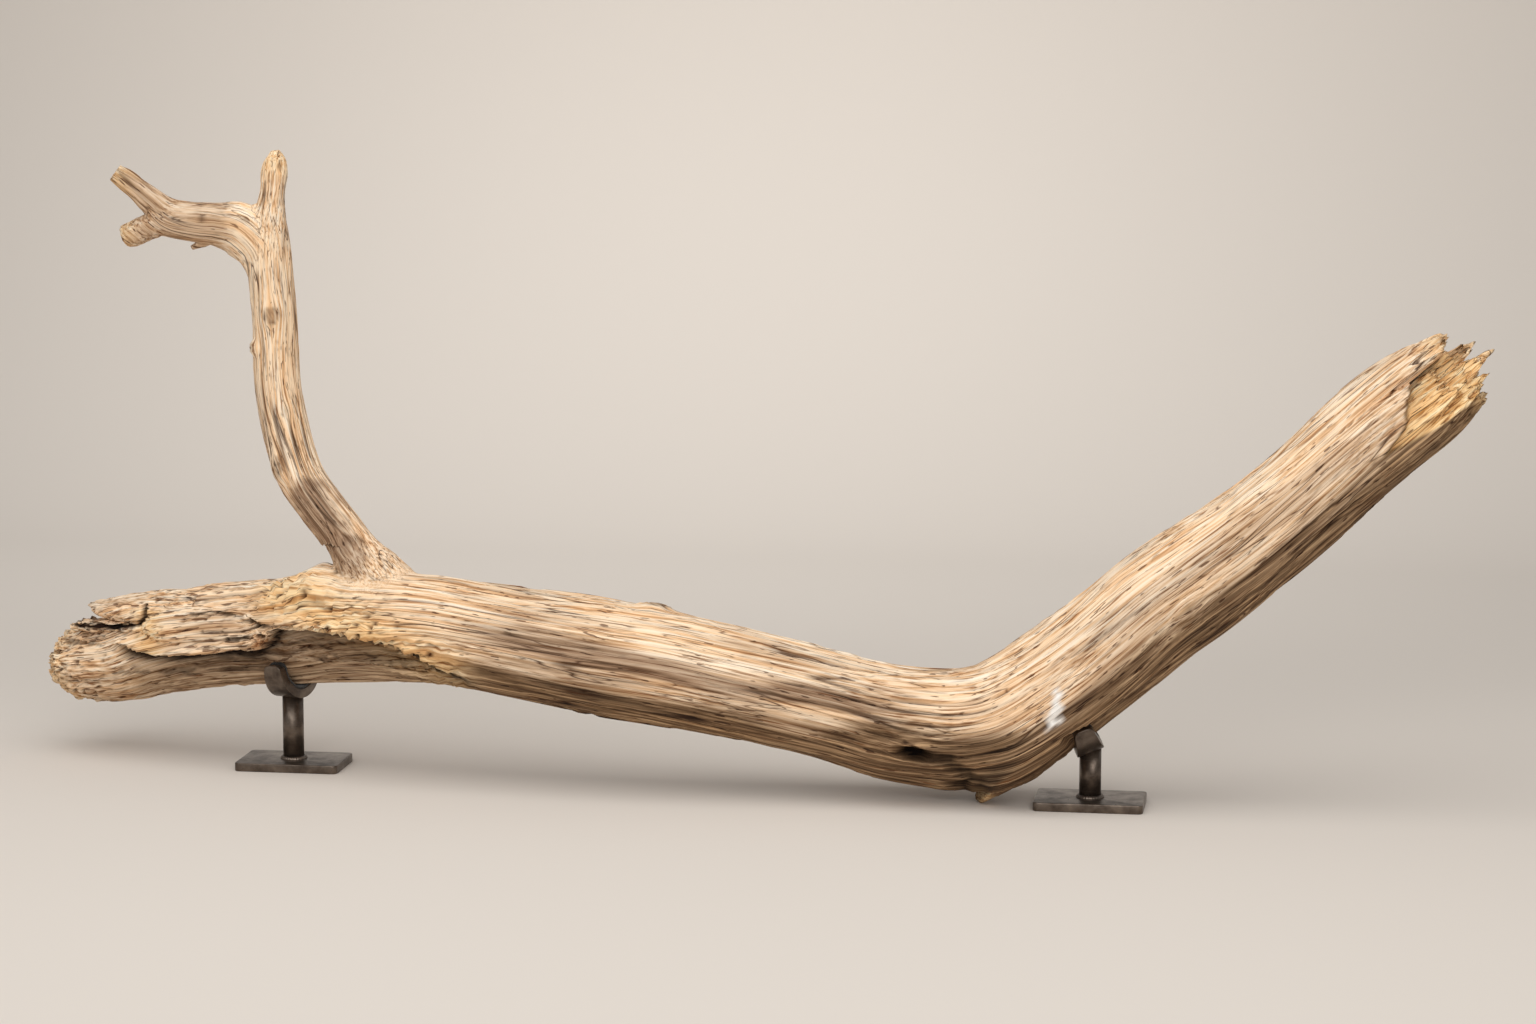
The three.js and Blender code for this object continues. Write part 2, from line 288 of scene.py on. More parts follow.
def spun(chain, steps, closed=False):
    # a chain of radius and height pairs, turned once round the Z axis
    bm = bmesh.new()
    verts = [bm.verts.new((radius, 0, height)) for radius, height in chain]
    following = verts[1:] + verts[:1] if closed else verts[1:]
    edges = [bm.edges.new(pair) for pair in zip(verts, following)]
    bmesh.ops.spin(bm, geom=verts + edges, cent=(0, 0, 0), axis=(0, 0, 1), angle=2 * math.pi,
                   steps=steps, use_merge=True)
    return bm


def limbBody(stations, around, rings, capRings, finest=(), keel=None, towardFront=0.0, shape=None):
    # a tube spun from a chain of points whose ends lie on the axis, then bent along its line
    rows = smoothLine(stations)
    along = lengthAlong(rows)
    length = along[-1]
    spacing = np.linspace(0, 1, 2000)
    crowd = np.ones_like(spacing)
    for start, end, more in finest:
        risen = smoothStep(spacing * length, start - 15, start)
        crowd += more * risen * (1 - smoothStep(spacing * length, end, end + 15))
    cumulated = np.concatenate([[0], np.cumsum((crowd[1:] + crowd[:-1]) / 2)])
    ringPlaces = np.interp(np.linspace(0, 1, rings), cumulated / cumulated[-1], spacing * length)
    fractions = np.linspace(0, 1, capRings + 1) ** 0.8
    chain = [(fraction, 0.0) for fraction in fractions[:-1]]
    chain += [(1.0, value) for value in ringPlaces]
    chain += [(fraction, length) for fraction in fractions[:-1][::-1]]
    bm = spun(chain, around)
    bmesh.ops.remove_doubles(bm, verts=bm.verts, dist=4e-4)
    bmesh.ops.recalc_face_normals(bm, faces=bm.faces)
    mesh = bpy.data.meshes.new("limb")
    bm.to_mesh(mesh)
    bm.free()
    tube = readVectors(mesh.vertices, "co")
    radius = np.hypot(tube[:, 0], tube[:, 1])
    turn = np.arctan2(tube[:, 1], tube[:, 0])
    # more of the ring's points lie on the front, where turn is -90 degrees
    turn -= towardFront * np.sin(turn + math.pi / 2)
    bent = bendOnto(rows, along, tube[:, 2], radius, turn, keel)
    if shape:
        bent = shape(bent, rows, tube[:, 2], length, radius, turn)
    writeVerts(mesh, bent)
    mesh.flip_normals()  # up, side and tangent are a left-handed set
    piece = bpy.data.objects.new("limb", mesh)
    bpy.context.collection.objects.link(piece)
    return piece


def bendOnto(rows, along, distance, radius, turn, keel):
    # sets each point of a straight tube at its distance, radius and turn round the limb's line
    _, side, up = rowFrames(rows)
    pick = [np.interp(distance, along, column) for column in rows.T]
    centre = np.stack(pick[:3], axis=1)
    sideAt, upAt = [np.stack([np.interp(distance, along, column) for column in table.T], axis=1)
                    for table in (side, up)]
    high = np.cos(turn) * radius
    deep = np.sin(turn) * radius
    wave = (1 + 0.03 * np.sin(3 * turn + (pick[0] + pick[2]) / 70)
            + 0.02 * np.sin(5 * turn - (pick[0] + pick[2]) / 41))
    narrow = 1.0
    if keel:
        narrow = 1 - keel(pick[0]) * np.maximum(0, -high)
    upward = upAt * (high * pick[3] * wave)[:, None]
    return centre + upward + sideAt * (deep * pick[4] * wave * narrow)[:, None]


def readVectors(items, field):
    flat = np.empty(len(items) * 3, np.float32)
    items.foreach_get(field, flat)
    return flat.reshape(-1, 3).astype(float)


def writeVerts(mesh, points):
    mesh.vertices.foreach_set("co", points.astype(np.float32).ravel())
    mesh.update()


def combine(base, other, operation):
    # joins or cuts with a boolean and applies it
    step = base.modifiers.new("combine", "BOOLEAN")
    step.operation = operation
    step.solver = "MANIFOLD"
    step.object = other
    bpy.context.view_layer.update()
    graph = bpy.context.evaluated_depsgraph_get()
    mesh = bpy.data.meshes.new_from_object(base.evaluated_get(graph))
    base.modifiers.clear()
    base.data = mesh
    bpy.data.objects.remove(other)


def gradientNoise(points, seed):
    random = np.random.RandomState(seed)
    order = np.tile(random.permutation(256), 2)
    slopes = random.normal(size=(256, 3))
    slopes /= np.linalg.norm(slopes, axis=1)[:, None]
    cell = np.floor(points).astype(int)
    inside = points - cell
    cell &= 255
    ease = inside**3 * (inside * (inside * 6 - 15) + 10)
    total = np.zeros(len(points))
    for i in (0, 1):
        for j in (0, 1):
            for k in (0, 1):
                corner = order[order[order[(cell[:, 0] + i) & 255] + ((cell[:, 1] + j) & 255)]
                               + ((cell[:, 2] + k) & 255)]
                reach = inside - (i, j, k)
                weight = np.ones(len(points))
                for axis, far in enumerate((i, j, k)):
                    weight *= ease[:, axis] if far else 1 - ease[:, axis]
                total += weight * np.einsum("ij,ij->i", slopes[corner], reach)
    return total * 1.5


def grainNoise(grain, along, across, seed):
    return gradientNoise(grain / (along, across, across) + seed * 7.31, seed)


# the broken right end: where the break starts along the grain, its centre and its bed
brokenEnd = {"start": 130, "centre": (680, 5, 381), "base": 12}
# each shard of the broken end, in mm from the end's centre: up, deep, tip along the grain, half widths
shards = [
    (30, -12, 44, 15, 26), (33, 14, 30, 16, 22), (9, 2, 57, 12, 20), (-6, -6, 65, 11, 18),
    (-19, -12, 47, 12, 24), (-31, -8, 36, 13, 28), (14, 30, 34, 20, 16), (-14, 28, 40, 22, 18)]
# the narrow gap between the upper shard and the next
slot = {"up": 19.0, "half": 1.5, "reach": -7, "deepest": 6}


def endAxes():
    tangent = Vector((0.76, 0, 0.65)).normalized()
    side = Vector((0, 1, 0))
    return np.array(tangent), np.array(side), np.array(tangent.cross(side))


def endPlaces(points):
    # how far each point lies along, up and deep from the broken end's centre
    tangent, side, up = endAxes()
    offset = points - np.array(brokenEnd["centre"])
    return offset @ tangent, offset @ up, offset @ side


def shardLength(up, deep):
    # how far the wood reaches along the grain at each point of the broken end
    reach = np.full(len(up), float(brokenEnd["base"]))
    for shardUp, shardDeep, tip, halfUp, halfDeep in shards:
        away = np.maximum(np.abs(up - shardUp) / halfUp, np.abs(deep - shardDeep) / halfDeep)
        low = brokenEnd["base"]
        reach = np.maximum(reach, low + (tip - low) * np.clip(1 - away, 0, 1) ** 0.7)
    fibres = np.stack([up / 3.1, deep / 3.7, np.zeros(len(up))], axis=1)
    reach += 9 * gradientNoise(fibres, 21) + 4 * gradientNoise(fibres * 2.1, 22)
    inSlot = 1 - smoothStep(np.abs(up - slot["up"]), slot["half"], slot["half"] + 1.2)
    inSlot *= 1 - smoothStep(deep, slot["deepest"], slot["deepest"] + 4)
    return reach + (slot["reach"] - reach) * inSlot


def shapeTrunk(points, rows, distance, length, radius, turn):
    begin = length - brokenEnd["start"]
    # the rim point of each lengthwise line decides how far that line is drawn out
    rim = bendOnto(rows, lengthAlong(rows), np.full(len(turn), length), radius, turn, trunkKeel)
    rimAlong, rimUp, rimDeep = endPlaces(rim)
    shift = shardLength(rimUp, rimDeep) - rimAlong
    share = np.clip((distance - begin) / brokenEnd["start"], 0, 1) ** 1.3
    moved = points + endAxes()[0] * (shift * share)[:, None]
    return np.where((distance > begin)[:, None], moved, points)


def buildWood():
    length = lengthAlong(smoothLine(trunkLine))[-1]
    # rings lie closer at both ends and under the ledge: from, to in mm and how much closer
    finest = [(0, 40, 1.5), (40, 420, 0.5), (length - 110, length, 1.6)]
    wood = limbBody(trunkLine, 204, 300, 20, finest, trunkKeel, 0.22, shapeTrunk)
    combine(wood, limbBody(ledgeHollow, 72, 80, 6), "DIFFERENCE")
    grown = [(chunkLine, 84, 56), (upperSlabLine, 96, 46), (shelfLine, 64, 34), (knobLine, 60, 30),
             (branchLine, 96, 150), (twigLine, 72, 34), (upperTineLine, 44, 22), (lowerTineLine, 44, 20),
             (spurLine, 28, 14)]
    for stations, around, rings in grown:
        combine(wood, limbBody(stations, around, rings, 7), "UNION")
        print("wood: joined a limb,", len(wood.data.polygons), "faces")
    wood.name = "driftwood_visual"
    return wood


wood = buildWood()
print("wood: limbs joined,", len(wood.data.vertices), "points")

# where limbs leave each other: centre, reach in mm and how often the crease is smoothed
joins = [((-290, 12, 187), 46, 30), ((-402, 37, 512), 26, 24), ((-498, 14, 526), 19, 16),
         ((-440, 25, 506), 10, 3), ((300, -24, 34), 26, 5)]


def softenJoins(wood):
    # rounds the creases at the joins
    bm = bmesh.new()
    bm.from_mesh(wood.data)
    bmesh.ops.triangulate(bm, faces=[face for face in bm.faces if len(face.verts) > 4])
    for centre, reach, times in joins:
        near = [vert for vert in bm.verts if (vert.co - Vector(centre)).length < reach]
        for _ in range(times):
            bmesh.ops.smooth_vert(bm, verts=near, factor=0.5, use_axis_x=True, use_axis_y=True,
                                  use_axis_z=True)
    bmesh.ops.recalc_face_normals(bm, faces=bm.faces)
    bm.to_mesh(wood.data)
    bm.free()


def grainOn(points, stations, extend):
    # each point's place in a limb's own frame: mm along the grain, up and sideways from the pith
    rows = smoothLine(stations, 10)
    tangent, side, up = rowFrames(rows)
    first = rows[0].copy()
    last = rows[-1].copy()
    first[:3] -= tangent[0] * extend
    last[:3] += tangent[-1] * extend
    rows = np.vstack([first, rows, last])
    tangent, side, up = rowFrames(rows)
    along = lengthAlong(rows) - extend
    best = np.full(len(points), 1e9)
    spot = np.zeros(len(points))
    base = np.zeros(len(points), int)
    for i in range(len(rows) - 1):
        run = rows[i + 1, :3] - rows[i, :3]
        share = np.clip((points - rows[i, :3]) @ run / (run @ run), 0, 1)
        gap = points - rows[i, :3] - share[:, None] * run
        far = np.einsum("ij,ij->i", gap, gap)
        closer = far < best
        best[closer] = far[closer]
        spot[closer] = share[closer]
        base[closer] = i
    rowAt, sideAt, upAt = [(1 - spot)[:, None] * table[base] + spot[:, None] * table[base + 1]
                           for table in (rows, side, up)]
    offset = points - rowAt[:, :3]
    grain = np.stack([(1 - spot) * along[base] + spot * along[base + 1],
                      np.einsum("ij,ij->i", offset, upAt), np.einsum("ij,ij->i", offset, sideAt)], axis=1)
    size = np.maximum((rowAt[:, 3] + rowAt[:, 4]) / 2, 3)
    return grain, np.sqrt(best) - size


# on the left, wood that is higher than this belongs to the branch and the twig
branchFrom = 215
# the ledge on the front of the left end: its lower edge in x, z, and how deep the wood below it lies
ledge = {"edge": [(-545, 112), (-524, 108), (-495, 107), (-447, 111), (-406, 117), (-394, 127),
                  (-386, 138), (-364, 142), (-318, 139), (-286, 141), (-262, 135), (-238, 124),
                  (-220, 114), (-201, 107), (-180, 98)],
         "depth": [(-560, 0), (-520, 15), (-450, 22), (-400, 23), (-370, 22), (-310, 26), (-250, 20),
                   (-205, 9), (-180, 0)],
         "lip": 5.0}
# the bite out of the broken end, as along and up from the end's centre
bite = {"outline": [(-7, 19), (-22, 6), (-36, -6), (-50, -10), (-63, -14), (-40, -21), (-11, -26),
                    (33, -29), (80, -29), (80, 19)],
        "depth": 15}
# the eye-shaped hole low on the bend, in x, z
eye = {"centre": (224, 53), "half": (15, 6.5), "slope": -0.18, "depth": 14, "lip": 5.5}
# the pointed foot under the bend: a sharp crest that runs up to the right, and the undercut at its tip
crest = {"line": [(285, 2), (297, 17), (316, 38), (338, 62), (352, 84)], "height": 24, "half": 24}
undercut = {"centre": (268, 18), "half": (13, 6), "depth": 12}
# cracks and gaps that stand open: each one's line on the front in x, z, half width, depth and how dark the
# painted shade in it is
gaps = [
    ([(-618, 112), (-579, 112), (-540, 110)], 1.2, 2.0, 0.6),
    ([(-602, 127), (-576, 129), (-547, 131), (-528, 134)], 2.6, 9, 1.0),
    ([(-530, 134), (-522, 144), (-524, 153)], 2.2, 7, 0.9),
    ([(-478, 146), (-454, 152), (-428, 151), (-408, 145), (-394, 139)], 1.3, 4, 0.75),
    ([(-435, 128), (-408, 133), (-396, 132)], 1.6, 5, 0.9),
    ([(-331, 192), (-321, 174), (-308, 168), (-299, 159), (-302, 151), (-312, 143)], 1.3, 3, 0.6),
    ([(-560, 86), (-500, 87), (-440, 95), (-400, 99)], 1.2, 2.5, 0.5),
    ([(236, 52), (256, 46), (274, 34), (287, 18)], 6.0, 9, 0.7)]
# the crumbling edge of the trunk over the recess
crumble = {"line": [(-388, 172), (-352, 163), (-322, 152), (-292, 146), (-255, 128), (-216, 112)],
           "reach": 23, "height": 5.0}
# grey streaks that the weather left: each one's line on the front in x, z, half width and strength
greyBands = [
    {"line": [(-200, 153), (-120, 142), (-64, 134), (-7, 124), (48, 115), (113, 105), (167, 100),
              (235, 101)], "half": 13, "strength": 0.9},
    {"line": [(340, 130), (375, 156), (437, 194), (480, 230), (532, 268), (600, 322), (650, 366)],
     "half": 15, "strength": 0.4}]
branchStain = {"line": [(-360, 262), (-336, 226), (-318, 204)], "half": 20}
# the upper edge of the brown underside on the front, in x, z
brownEdge = [(-240, 114), (-181, 97), (-65, 89), (28, 77), (121, 71), (190, 82), (236, 82), (268, 76),
             (300, 78), (340, 82), (370, 92), (420, 118), (480, 162), (560, 236), (640, 304)]
# the lower edge of a long flake that has lifted off above the brown underside
flake = {"line": [(-229, 124), (-159, 113), (-102, 99), (-64, 92), (-17, 83), (29, 75), (85, 64)],
         "depth": 3.0}
# the room inside each cradle's felt in the stand's own frame: the wood is kept inside it
seatRoom = {"radius": 22.4, "half": 14, "easing": 1.6, "over": 2.5, "reach": 22, "widest": 60}
floorGap = 0.8  # the lowest wood lies this far over the floor
# a pale scrape beside the right stand, in x, z
scrape = {"from": (357, 114), "to": (352, 86), "half": 5}
# each knot: centre, radius, how far it stands out and how dark it is
knots = [((-22, -24, 178), 12, 6.0, 1.0), ((-394, 22, 432), 7, 2.8, 1.0), ((-390, 24, 289), 8, 3.0, 1.0),
         ((-415, 30, 402), 4, 5.0, 0.5), ((-384, 24, 341), 4, 1.4, 0.5), ((-382, 20, 573), 3.2, -3.0, 1.0),
         ((-322, 4, 218), 6, 1.5, 0.4), ((-455, -2, 524), 3, -2.0, 0.8), ((470, -70, 190), 5, 1.0, 0.5)]


def lineDistance(first, second, corners):
    # distance to a broken line in a plane
    best = np.full(len(first), 1e9)
    for (x0, y0), (x1, y1) in zip(corners, corners[1:]):
        run = np.array([x1 - x0, y1 - y0], float)
        share = np.clip(((first - x0) * run[0] + (second - y0) * run[1]) / (run @ run), 0, 1)
        best = np.minimum(best, np.hypot(first - x0 - share * run[0], second - y0 - share * run[1]))
    return best


def insideOutline(first, second, corners):
    # distance inside a closed outline, negative outside it
    inside = np.zeros(len(first), bool)
    closed = corners + corners[:1]
    for (x0, y0), (x1, y1) in zip(closed, closed[1:]):
        if y0 == y1:
            continue
        crosses = (y0 > second) != (y1 > second)
        inside ^= crosses & (first < (x1 - x0) * (second - y0) / (y1 - y0) + x0)
    return np.where(inside, 1, -1) * lineDistance(first, second, closed)


def wornShapes(points, grain):
    # large worn shapes, as moves away from the front, and the marks that colour the wood, painted shade
    # among them
    x, y, z = points.T
    onFront = smoothStep(-grain[:, 2], 2, 16)
    wobble = grainNoise(grain, 22, 14, 61)
    edge = np.interp(x, *zip(*ledge["edge"])) + 3.0 * wobble + 1.5 * grainNoise(grain, 7, 5, 62)
    below = edge - z
    setBack = np.interp(x, *zip(*ledge["depth"]))
    onTrunk = (z < branchFrom) & (x < -150)
    profile = smoothStep(below, -0.8, 1.6) * (1 - 0.72 * smoothStep(below, 5, 34))
    lip = smoothStep(below, -16, -2) * (1 - smoothStep(below, -1.5, 0.8)) * ledge["lip"] * (setBack > 1)
    move = np.zeros_like(points)
    move[:, 1] += np.where(onTrunk, onFront * (setBack * profile - lip * (1 + wobble)), 0)
    shade = np.where(onTrunk, onFront * smoothStep(below, -1, 3) * smoothStep(setBack, 2, 12), 0)
    # painted shade: a dark band just under the ledge, where its overhang casts a shadow
    paintedShadeAndKnotRings = smoothStep(below, -0.6, 0.9) * (1 - smoothStep(below, 2.5, 15)) * smoothStep(setBack, 1, 9)
    paintedShadeAndKnotRings = np.where(onTrunk, paintedShadeAndKnotRings * onFront, 0)
    for line, half, depth, tone in gaps:
        away = lineDistance(x, z, line) + 2.2 * wobble + 1.6 * grainNoise(grain, 9, 4, 65)
        opened = 1 - smoothStep(away, half * 0.4, half * 1.3)
        opened *= np.maximum(onFront, (z < 60) * (y < -35))
        opened *= z < branchFrom
        move[:, 1] += depth * opened
        # painted shade inside each open gap
        paintedShadeAndKnotRings = np.maximum(paintedShadeAndKnotRings, tone * opened)

    along, high, deep = endPlaces(points)
    inBite = insideOutline(along + 3 * grainNoise(grain, 30, 6, 63), high, bite["outline"])
    wall = smoothStep(inBite, -0.6, 2.2) * (1 - 0.9 * smoothStep(-high, -2, 29))
    nearEnd = (along > -90) * smoothStep(-deep, -2, 12)
    move[:, 1] += nearEnd * wall * bite["depth"]
    fresh = nearEnd * smoothStep(inBite, -1, 1.5) * 0.95
    # painted shade: a dark line along the wall of the bite
    rimLine = np.exp(-((inBite - 0.6) / 1.3) ** 2) * (high > -22) * (along < 40)
    paintedShadeAndKnotRings = np.maximum(paintedShadeAndKnotRings, 0.6 * nearEnd * rimLine)
    fresh = np.maximum(fresh, smoothStep(along, 10, 34) * (deep > -60) * (x > 600) * 0.5)

    across = (x - eye["centre"][0]) / eye["half"][0]
    upward = (z - eye["centre"][1] - eye["slope"] * (x - eye["centre"][0])) / eye["half"][1]
    away = np.hypot(across, upward) + 0.15 * wobble
    atEye = (y < -35) & (np.abs(x - 222) < 90)
    move[:, 1] += np.where(atEye, eye["depth"] * (1 - smoothStep(away, 0.62, 1.02)), 0)
    move[:, 1] -= np.where(atEye, eye["lip"] * np.exp(-((away - 1.45) / 0.4) ** 2) * (upward > -1.5), 0)
    # painted shade inside the hole
    shade = np.maximum(shade, np.where(atEye, 1 - smoothStep(away, 0.7, 1.2), 0))
    paintedShadeAndKnotRings = np.maximum(paintedShadeAndKnotRings, np.where(atEye, 1 - smoothStep(away, 0.45, 1.0), 0))
    atFoot = (y < -10) * (np.abs(x - 305) < 75) * (1 - smoothStep(z, 52, 88))
    ridge = np.clip(1 - lineDistance(x, z, crest["line"]) / crest["half"], 0, 1)
    move[:, 1] -= crest["height"] * ridge * atFoot
    across = (x - undercut["centre"][0]) / undercut["half"][0]
    upward = (z - undercut["centre"][1]) / undercut["half"][1]
    inside = (1 - smoothStep(np.hypot(across, upward) + 0.2 * wobble, 0.5, 1.0)) * (y < 0)
    move[:, 1] += undercut["depth"] * inside
    # painted shade in the undercut at the foot's tip
    paintedShadeAndKnotRings = np.maximum(paintedShadeAndKnotRings, 0.8 * inside)
    # painted shade on the crest's lower left face, which faces away from the light
    besideCrest = smoothStep(ridge, 0.0, 0.5) * (1 - smoothStep(ridge, 0.8, 0.98))
    besideCrest *= (x < 285 + 0.84 * (z - 3)) * (1 - smoothStep(z, 34, 62)) * atFoot
    paintedShadeAndKnotRings = np.maximum(paintedShadeAndKnotRings, 0.62 * besideCrest)

    swelling = 9 * (1 + 0.7 * wobble) * np.exp(-((x + 352) / 24) ** 2) * smoothStep(grain[:, 1], 18, 44)
    move[:, 2] += np.where((z > 150) & (z < branchFrom), swelling, 0)
    crumbly = np.exp(-(lineDistance(x, z, crumble["line"]) / crumble["reach"]) ** 2) * onFront * onTrunk
    fresh = np.maximum(fresh, np.where(onTrunk, crumbly * 0.85, 0))
    leftEnd = 1 - smoothStep(grain[:, 0], 6, 40)
    fresh = np.maximum(fresh, np.where(x < -560, leftEnd * 0.45, 0))
    chunkEnds = np.exp(-((x + 519) / 16) ** 2) * (z > 104) * (z < 150) * onFront * (x < -480)
    fresh = np.maximum(fresh, 0.75 * chunkEnds * onTrunk)
    redEnd = np.exp(-((x + 402) / 10) ** 2) * (z > 106) * (z < 134)
    redEnd *= onFront * onTrunk * smoothStep(-below, -1, 1)
    knobTip = (1 - smoothStep(np.hypot(x - 286, z - 8), 5, 16)) * (y < 0)
    tips = np.maximum(smoothStep(z, 553, 578), (1 - smoothStep(x, -534, -512)) * (z > 480))
    fresh = np.maximum.reduce([fresh, 0.8 * redEnd, 0.6 * knobTip, 0.5 * tips])
    flakeEdge = np.interp(x, *zip(*flake["line"])) + 2.5 * wobble
    onFlake = onFront * smoothStep(x, -240, -200) * (1 - smoothStep(x, 60, 95)) * (z < 160)
    under = smoothStep(flakeEdge - z, -0.5, 1.4) * (1 - smoothStep(flakeEdge - z, 10, 26))
    move[:, 1] += flake["depth"] * onFlake * under
    shade = np.maximum(shade, 0.8 * onFlake * under)
    mark = lineDistance(x, z, [scrape["from"], scrape["to"]]) + 7.0 * grainNoise(grain, 9, 4.4, 64)
    scraped = (1 - smoothStep(mark, scrape["half"] * 0.2, scrape["half"] * 1.3)) * (y < -40)
    return move, shade, paintedShadeAndKnotRings, fresh, scraped, crumbly, redEnd


def greyBrownAndTopLight(points, grain, branchGrain, onBranch):
    # where the wood has gone grey, where it is dark and brown, and the painted light that makes its top and
    # upper branch paler
    x, _, z = points.T
    patches = smoothStep(grainNoise(grain, 170, 26, 81), 0.12, 0.42)
    ragged = 9 * grainNoise(grain, 120, 9, 82) + 5 * grainNoise(grain, 60, 4, 83)
    front = smoothStep(-grain[:, 2], 0, 14)
    grey = 0.35 * patches
    for band in greyBands:
        first = band["line"][0][0]
        last = band["line"][-1][0]
        away = lineDistance(x, z, band["line"]) + ragged
        near = 1 - smoothStep(away, band["half"] * 0.4, band["half"] * 1.2)
        near *= smoothStep(x + 4 * ragged, first - 30, first + 60)
        near *= 1 - smoothStep(x + 4 * ragged, last - 60, last + 30)
        grey = np.maximum(grey, band["strength"] * near * front)
    grey *= 1 - onBranch
    away = lineDistance(x, z, branchStain["line"]) + 0.6 * ragged
    stain = 1 - smoothStep(away, branchStain["half"] * 0.5, branchStain["half"] * 1.3)
    grey = np.maximum(grey, 0.95 * stain * onBranch)
    grey = np.maximum(grey, 0.5 * onBranch * smoothStep(grainNoise(branchGrain, 90, 12, 84), 0.25, 0.5))
    low = -grain[:, 1] + ragged
    edge = np.interp(x, *zip(*brownEdge)) + 0.7 * ragged
    frontLow = front * smoothStep(edge - z, -8, 12) * (x > -240)
    brown = np.maximum(smoothStep(low, 5, 26), frontLow) * (1 - onBranch)
    brown *= 1 - 0.5 * smoothStep(-x, 230, 330)
    # painted top light: the top of the trunk is paler, less so in the hollow of the bend
    topLight = smoothStep(grain[:, 1], 0, 40) * (1 - onBranch) * (1 - 0.6 * np.exp(-((x - 255) / 80) ** 2))
    paintedTopLightAndPalePatches = np.clip(0.75 * topLight + onBranch * smoothStep(z, 250, 340) * smoothStep(x, -442, -418), 0, 1)
    paintedTopLightAndPalePatches = np.maximum(paintedTopLightAndPalePatches, 0.6 * (1 - smoothStep(x, -540, -500)) * (z < branchFrom)) * (1 - grey)
    grey = np.maximum(grey, 0.45 * onBranch * (1 - smoothStep(x, -440, -418)))
    return grey, brown, paintedTopLightAndPalePatches


def standTurn(stand):
    turn = Matrix.Rotation(math.radians(stand["turn"]), 3, "Z")
    return turn @ Matrix.Rotation(-math.radians(stand["tilt"]), 3, "Y")


def keepClearOfSeats(points):
    # presses the wood inside each cradle's felt, easing off past the strap's edges
    moved = points.copy()
    for side, stand in stands.items():
        centre = np.array((boxMiddle(side + "_post") - middle) / mm)
        centre[2] = stand["height"]
        axes = np.array(standTurn(stand))
        local = (moved - centre) @ axes
        along = np.maximum(np.abs(local[:, 0]) - seatRoom["half"], 0)
        room = seatRoom["radius"] + seatRoom["easing"] * along
        beside = local[:, 1]
        lift = np.minimum(local[:, 2] - strap["outer"], 0)
        far = np.maximum(np.hypot(beside, lift), 1e-6)
        within = (local[:, 2] < stand["arm"] + seatRoom["over"]) & (along < seatRoom["reach"])
        within &= far < seatRoom["widest"]
        squeeze = np.where(within & (far > room), room / far, 1.0)
        local[:, 1] = beside * squeeze
        local[:, 2] = np.where(squeeze < 1, local[:, 2] - lift + lift * squeeze, local[:, 2])
        moved = local @ axes.T + centre
    return moved


def bendRound(grain, points):
    # the grain parts round each knot
    bent = grain.copy()
    for centre, radius, _, _ in knots:
        nearest = np.argmin(((points - np.array(centre)) ** 2).sum(axis=1))
        away = grain - grain[nearest]
        pull = np.exp(-((away / (radius * np.array([3.0, 1.7, 1.7]))) ** 2).sum(axis=1))
        bent[:, 1:] -= away[:, 1:] * (0.65 * pull)[:, None]
    return bent


def knotRelief(points):
    height = np.zeros(len(points))
    paintedShadeAndKnotRings = np.zeros(len(points))
    for centre, radius, stand, tone in knots:
        nearest = points[np.argmin(((points - np.array(centre)) ** 2).sum(axis=1))]
        offset = (points - nearest) / radius
        away = np.sqrt(offset[:, 0] ** 2 * 1.3 + offset[:, 1] ** 2 + offset[:, 2] ** 2 * 0.75)
        away += 0.16 * gradientNoise(offset * 1.7 + radius, 91)
        broken = 0.55 + 0.9 * gradientNoise(offset * 1.3 - radius, 92)
        rings = 0.5 + 0.5 * np.cos(away * 13)
        height += stand * np.exp(-(away / 1.5) ** 4) - 0.35 * stand * (away < 0.8)
        paintedShadeAndKnotRings = np.maximum(paintedShadeAndKnotRings, tone * np.clip(broken, 0, 1) * np.exp(-((away - 0.95) / 0.16) ** 2))
        paintedShadeAndKnotRings = np.maximum(paintedShadeAndKnotRings, tone * (away < 0.9) * (0.3 + 0.25 * rings))
    return height, paintedShadeAndKnotRings


def relief(grain, size, seed):
    # the weathered surface in mm: flutes, ribs, splits and lifted layers along the grain
    flow = grain / (0.45 + 0.55 * size)
    bendy = flow.copy()
    bendy[:, 1] += 4.0 * grainNoise(flow, 120, 36, seed + 1)
    bendy[:, 2] += 4.0 * grainNoise(flow, 140, 40, seed + 2)
    flutes = grainNoise(bendy, 340, 21, seed + 3)
    ribs = grainNoise(bendy, 230, 10, seed + 4)
    fine = grainNoise(bendy, 150, 5.5, seed + 5)
    layer = grainNoise(bendy, 240, 22, seed + 6) * 4.5 + 0.4 * fine
    step = np.floor(layer) + smoothStep(layer - np.floor(layer), 0.0, 0.10)
    splitLine = np.abs(grainNoise(bendy, 340, 15, seed + 7))
    splitHere = smoothStep(grainNoise(flow, 150, 26, seed + 8), 0.04, 0.34)
    split = (1 - smoothStep(splitLine, 0.01, 0.10)) * splitHere
    height = 1.9 * flutes + 1.6 * ribs + 0.9 * fine + 1.3 * (step - layer * 0.9) - 2.2 * split - 0.8
    # painted shade along the lifted layers' edges, in the rib valleys and in the splits
    layerEdgeShade = 1 - smoothStep(np.abs(layer - np.round(layer)), 0.0, 0.06)
    valleyShade = smoothStep(-ribs - 0.6 * fine, 0.1, 0.8)
    return height * size, np.clip(0.7 * split + 0.16 * valleyShade + 0.22 * layerEdgeShade, 0, 1)


